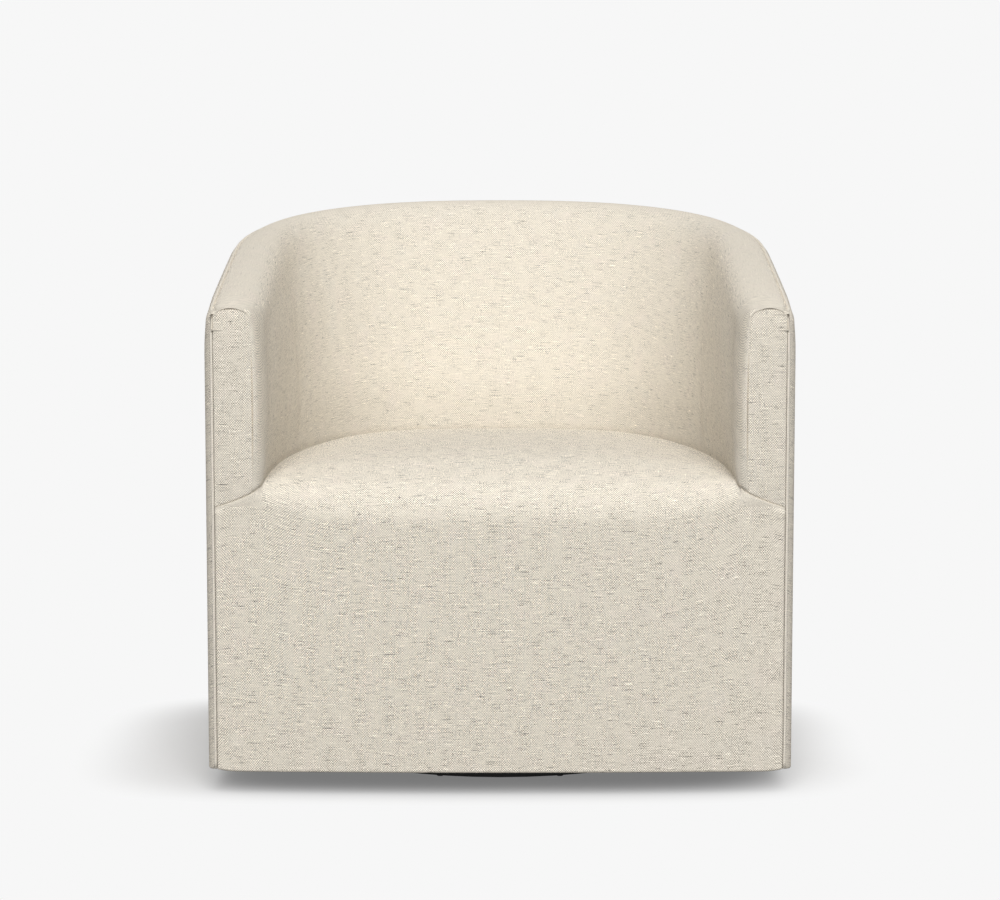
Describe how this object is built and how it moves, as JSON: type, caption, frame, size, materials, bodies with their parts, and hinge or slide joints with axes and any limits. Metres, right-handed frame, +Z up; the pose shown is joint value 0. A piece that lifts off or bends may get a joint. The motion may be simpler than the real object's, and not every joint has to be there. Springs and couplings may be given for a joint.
{
  "type": "swivel barrel chair",
  "caption": "Upholstered barrel lounge chair: a cream tub whose rim rises to the back, a tight seat and a front panel to the hem, turning on a hidden ball bearing swivel and ring base.",
  "frame": {"origin": "on the floor, on the swivel axis, under the middle of the tub", "axes": "+Z up along the swivel axis, -Y towards the front of the chair, +X to the sitter's left"},
  "size_m": [0.787, 0.8, 0.776],
  "materials": {
    "cloth": "cream linen-look weave, matt",
    "welt_cloth": "the same cloth over a cord",
    "hardwood": "sawn, unfinished",
    "plywood": "sawn edges, unfinished",
    "spring_steel": "drawn wire",
    "felt": "needled felt",
    "dust_cloth": "thin black nonwoven",
    "black_steel": "black powder coat",
    "zinc_steel": "zinc plated",
    "black_nylon": "moulded nylon"
  },
  "bodies": {
    "base": {"base_ring": "black_steel", "glide_1": "black_nylon", "glide_2": "black_nylon", "glide_3": "black_nylon", "glide_4": "black_nylon", "glide_5": "black_nylon", "glide_6": "black_nylon", "glide_7": "black_nylon", "glide_8": "black_nylon", "glide_9": "black_nylon", "glide_10": "black_nylon", "lower_swivel_plate": "black_steel", "king_bolt": "zinc_steel", "king_washer": "zinc_steel", "king_nut": "zinc_steel", "plate_bolt_1": "zinc_steel", "plate_bolt_2": "zinc_steel", "plate_bolt_3": "zinc_steel", "plate_bolt_4": "zinc_steel"},
    "bearing": {"ball_cage": "zinc_steel"},
    "chair": {"upper_swivel_plate": "black_steel", "plate_screw_1": "zinc_steel", "plate_screw_2": "zinc_steel", "plate_screw_3": "zinc_steel", "plate_screw_4": "zinc_steel", "bearer_front": "hardwood", "bearer_rear": "hardwood", "bottom_ring": "plywood", "front_board": "plywood", "seat_ring": "plywood", "top_rail": "plywood", "arm_post_left": "hardwood", "side_post_left": "hardwood", "back_post_left": "hardwood", "arm_post_right": "hardwood", "side_post_right": "hardwood", "back_post_right": "hardwood", "spring_rail_front": "hardwood", "spring_rail_rear": "hardwood", "seat_spring_1": "spring_steel", "seat_spring_2": "spring_steel", "seat_spring_3": "spring_steel", "seat_spring_4": "spring_steel", "seat_spring_5": "spring_steel", "deck_felt": "felt", "seat_pad": "cloth", "front_panel": "cloth", "back_pad": "cloth", "arm_pad_left": "cloth", "arm_facing_left": "cloth", "arm_pad_right": "cloth", "arm_facing_right": "cloth", "outer_shell": "cloth", "welt": "welt_cloth", "dust_cover": "dust_cloth"}
  },
  "joints": [
    {"name": "swivel", "type": "hinge", "parent": "base", "child": "chair", "pos_m": [0, 0, 0.0386], "axis": [0, 0, 1], "continuous": true},
    {"name": "bearing_spin", "type": "hinge", "parent": "base", "child": "bearing", "pos_m": [0, 0, 0.0386], "axis": [0, 0, 1], "continuous": true}
  ],
  "couplings": [
    {"joint": "bearing_spin", "follows": "swivel", "ratio": 0.5}
  ]
}
